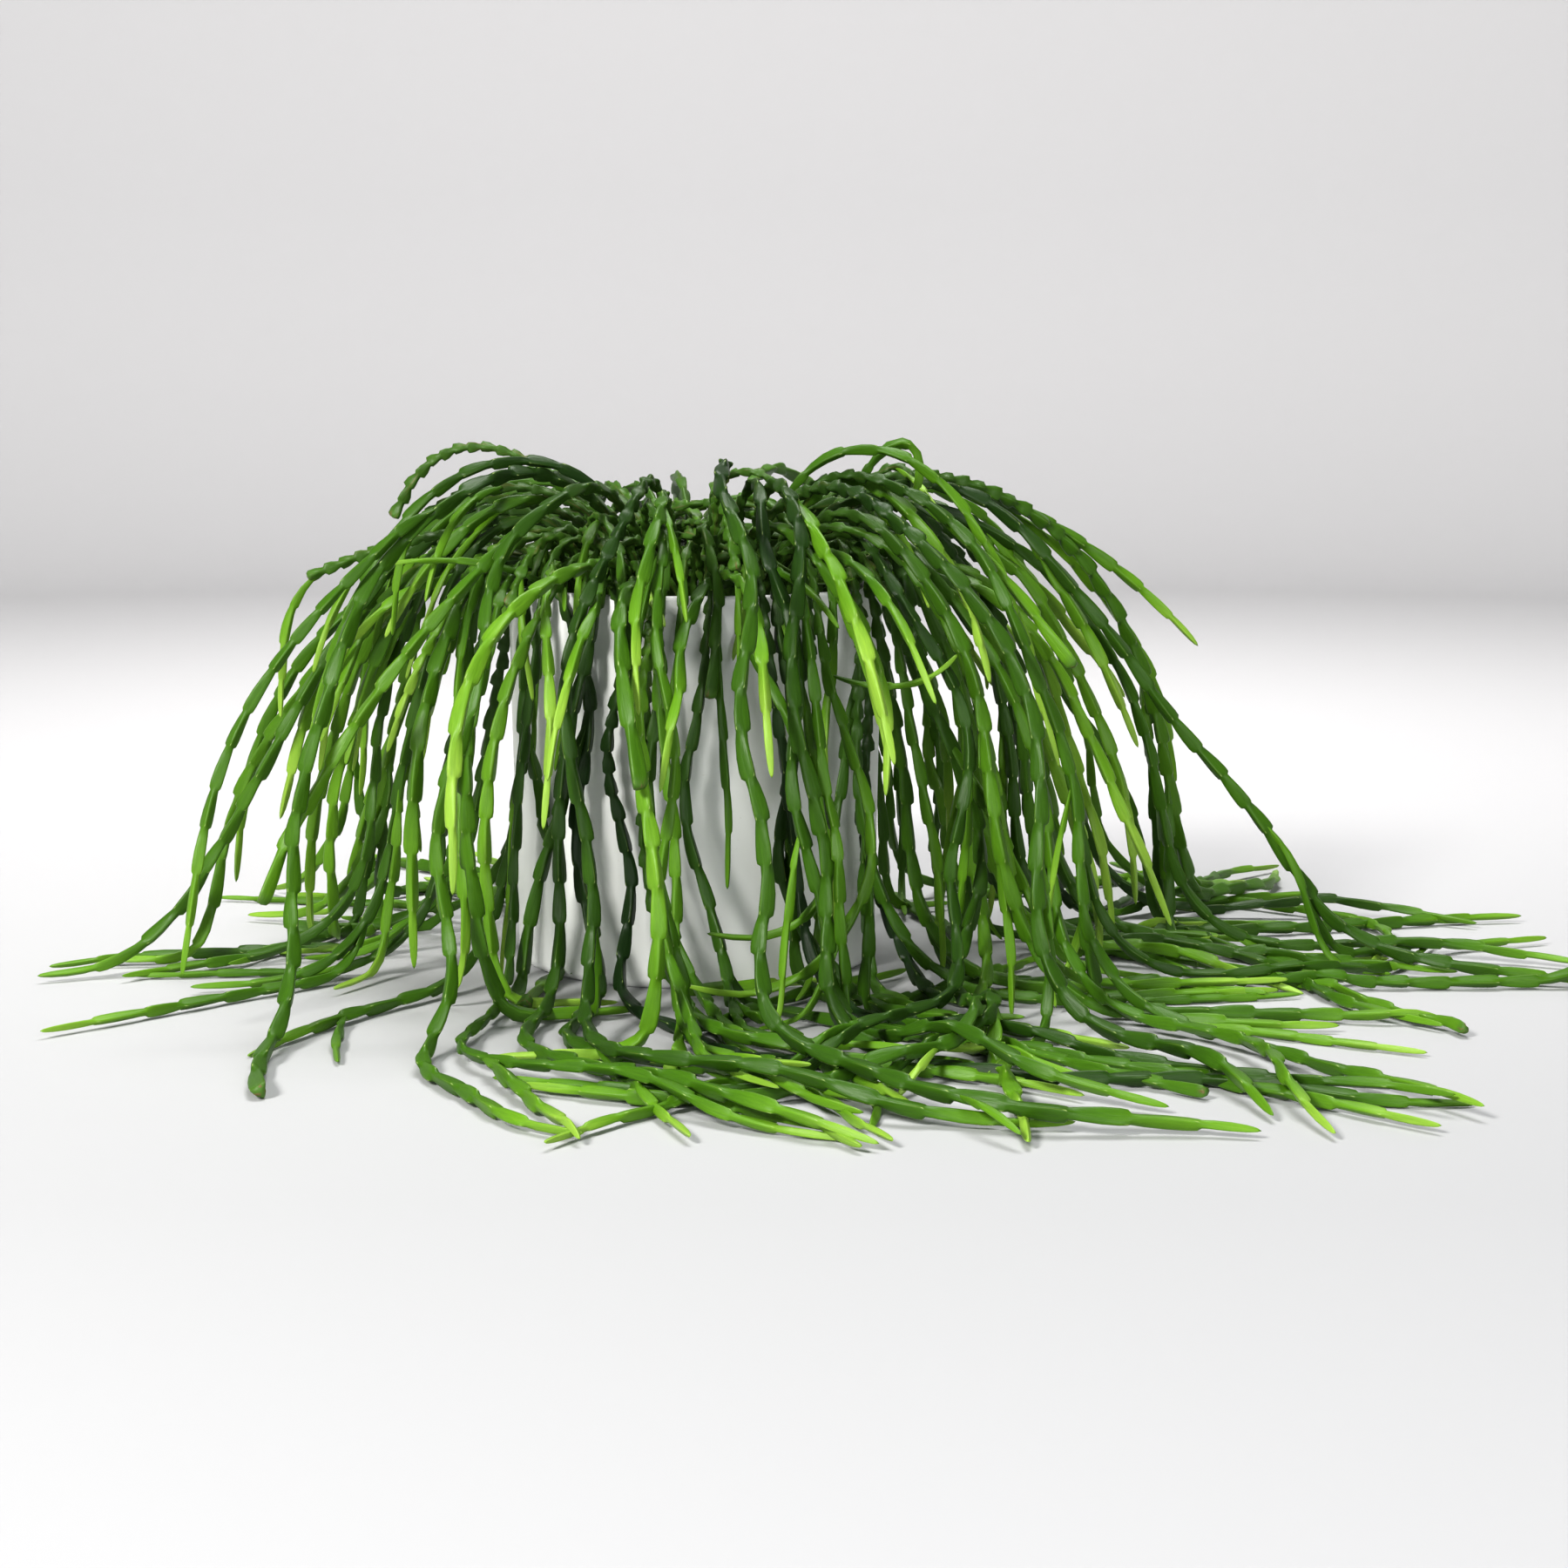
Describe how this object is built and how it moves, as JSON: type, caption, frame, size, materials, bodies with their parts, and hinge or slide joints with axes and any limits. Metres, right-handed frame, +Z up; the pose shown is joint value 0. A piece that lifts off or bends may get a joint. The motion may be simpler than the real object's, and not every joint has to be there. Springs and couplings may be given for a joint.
{
  "type": "potted chain cactus",
  "caption": "Trailing chain cactus with three-angled, linked stems that arch over the rim of a plain white pot and lie on the surface around it.",
  "frame": {"origin": "centre of the pot's flat base, on the surface that the pot stands on", "axes": "+Z up along the pot's axis, +X to the right of the front view, -Y towards the viewer"},
  "size_m": [0.769, 0.6727, 0.2579],
  "materials": {
    "pot_glaze": "satin",
    "potting_soil": "matte",
    "stem_skin": "satin"
  },
  "bodies": {
    "root": {"pot": "pot_glaze", "soil": "potting_soil", "cutting_01": "stem_skin", "cutting_02": "stem_skin", "cutting_03": "stem_skin", "cutting_04": "stem_skin", "cutting_05": "stem_skin", "cutting_06": "stem_skin", "cutting_07": "stem_skin", "cutting_08": "stem_skin", "cutting_09": "stem_skin", "cutting_10": "stem_skin", "cutting_11": "stem_skin", "cutting_12": "stem_skin", "cutting_13": "stem_skin", "cutting_14": "stem_skin", "cutting_15": "stem_skin", "cutting_16": "stem_skin", "cutting_17": "stem_skin", "cutting_18": "stem_skin", "cutting_19": "stem_skin", "cutting_20": "stem_skin", "cutting_21": "stem_skin", "cutting_22": "stem_skin", "cutting_23": "stem_skin", "cutting_24": "stem_skin", "cutting_25": "stem_skin", "cutting_26": "stem_skin", "cutting_27": "stem_skin", "cutting_28": "stem_skin", "cutting_29": "stem_skin", "cutting_30": "stem_skin", "cutting_31": "stem_skin", "cutting_32": "stem_skin", "cutting_33": "stem_skin", "cutting_34": "stem_skin", "cutting_35": "stem_skin", "cutting_36": "stem_skin", "cutting_37": "stem_skin", "cutting_38": "stem_skin", "cutting_39": "stem_skin", "cutting_40": "stem_skin", "cutting_41": "stem_skin", "cutting_42": "stem_skin", "cutting_43": "stem_skin", "cutting_44": "stem_skin", "cutting_45": "stem_skin", "cutting_46": "stem_skin", "cutting_47": "stem_skin", "cutting_48": "stem_skin", "cutting_49": "stem_skin", "cutting_50": "stem_skin"}
  },
  "joints": []
}
